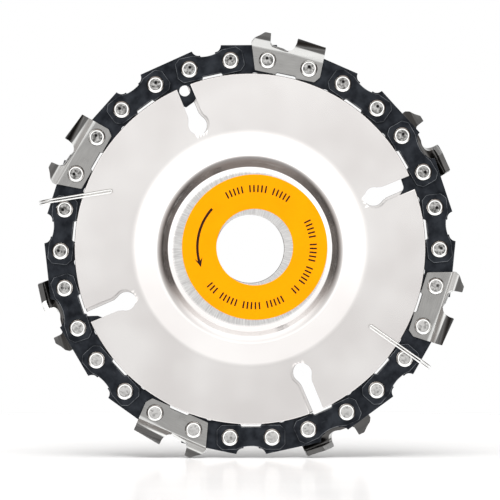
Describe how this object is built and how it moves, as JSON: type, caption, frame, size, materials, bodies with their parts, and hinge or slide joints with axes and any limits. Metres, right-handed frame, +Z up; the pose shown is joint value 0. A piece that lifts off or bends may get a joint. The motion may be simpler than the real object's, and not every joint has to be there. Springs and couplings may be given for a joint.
{
  "type": "angle grinder carving disc",
  "caption": "Round wood-carving disc for an angle grinder: a loop of saw chain clamped at the rim of two dished, slotted steel plates with a central bore.",
  "frame": {"origin": "the disc's axis at the middle of the chain's thickness", "axes": "+Z up, +Y towards the grinder, along the spindle axis; the labelled front faces -Y"},
  "size_m": [0.1, 0.0092, 0.0999],
  "materials": {
    "plate_steel": "satin stainless sheet, brushed round the axis",
    "blued_steel": "oil-blacked spring steel, semi-matt",
    "cutter_steel": "satin hard-chromed tooth steel",
    "label_orange": "printed vinyl sticker",
    "clip_wire": "bright sprung wire"
  },
  "bodies": {
    "back_plate": {"back_plate": "plate_steel"},
    "front_plate": {"front_plate": "plate_steel", "label": "label_orange"},
    "chain": {"preset_01": "blued_steel", "preset_02": "blued_steel", "preset_03": "blued_steel", "preset_04": "blued_steel", "preset_05": "blued_steel", "preset_06": "blued_steel", "preset_07": "blued_steel", "preset_08": "blued_steel", "preset_09": "blued_steel", "preset_10": "blued_steel", "preset_11": "blued_steel", "preset_12": "blued_steel", "preset_13": "blued_steel", "preset_14": "blued_steel", "preset_15": "blued_steel", "drive_link_01": "blued_steel", "drive_link_02": "blued_steel", "drive_link_03": "blued_steel", "drive_link_04": "blued_steel", "drive_link_05": "blued_steel", "drive_link_06": "blued_steel", "drive_link_07": "blued_steel", "drive_link_08": "blued_steel", "drive_link_09": "blued_steel", "drive_link_10": "blued_steel", "drive_link_11": "blued_steel", "drive_link_12": "blued_steel", "drive_link_13": "blued_steel", "drive_link_14": "blued_steel", "drive_link_15": "blued_steel", "cutter_01": "cutter_steel", "cutter_03": "cutter_steel", "cutter_05": "cutter_steel", "cutter_07": "cutter_steel", "cutter_09": "cutter_steel", "cutter_11": "cutter_steel", "cutter_13": "cutter_steel", "tie_strap_02": "blued_steel", "tie_strap_04": "blued_steel", "tie_strap_06": "blued_steel", "tie_strap_08": "blued_steel", "tie_strap_10": "blued_steel", "tie_strap_12": "blued_steel", "tie_strap_14": "blued_steel", "tie_strap_15": "blued_steel"},
    "clip_left": {"clip_left": "clip_wire"},
    "clip_right": {"clip_right": "clip_wire"}
  },
  "joints": [
    {"name": "front_plate_turn", "type": "hinge", "parent": "back_plate", "child": "front_plate", "pos_m": [0, 0, 0], "axis": [0, 1, 0], "continuous": true},
    {"name": "chain_turn", "type": "hinge", "parent": "back_plate", "child": "chain", "pos_m": [0, 0, 0], "axis": [0, 1, 0], "continuous": true},
    {"name": "clip_left_pull", "type": "slide", "parent": "chain", "child": "clip_left", "axis": [-0.9866, 0, -0.1633], "range_m": [0, 0.025]},
    {"name": "clip_right_pull", "type": "slide", "parent": "chain", "child": "clip_right", "axis": [0.8181, 0, -0.575], "range_m": [0, 0.025]}
  ]
}
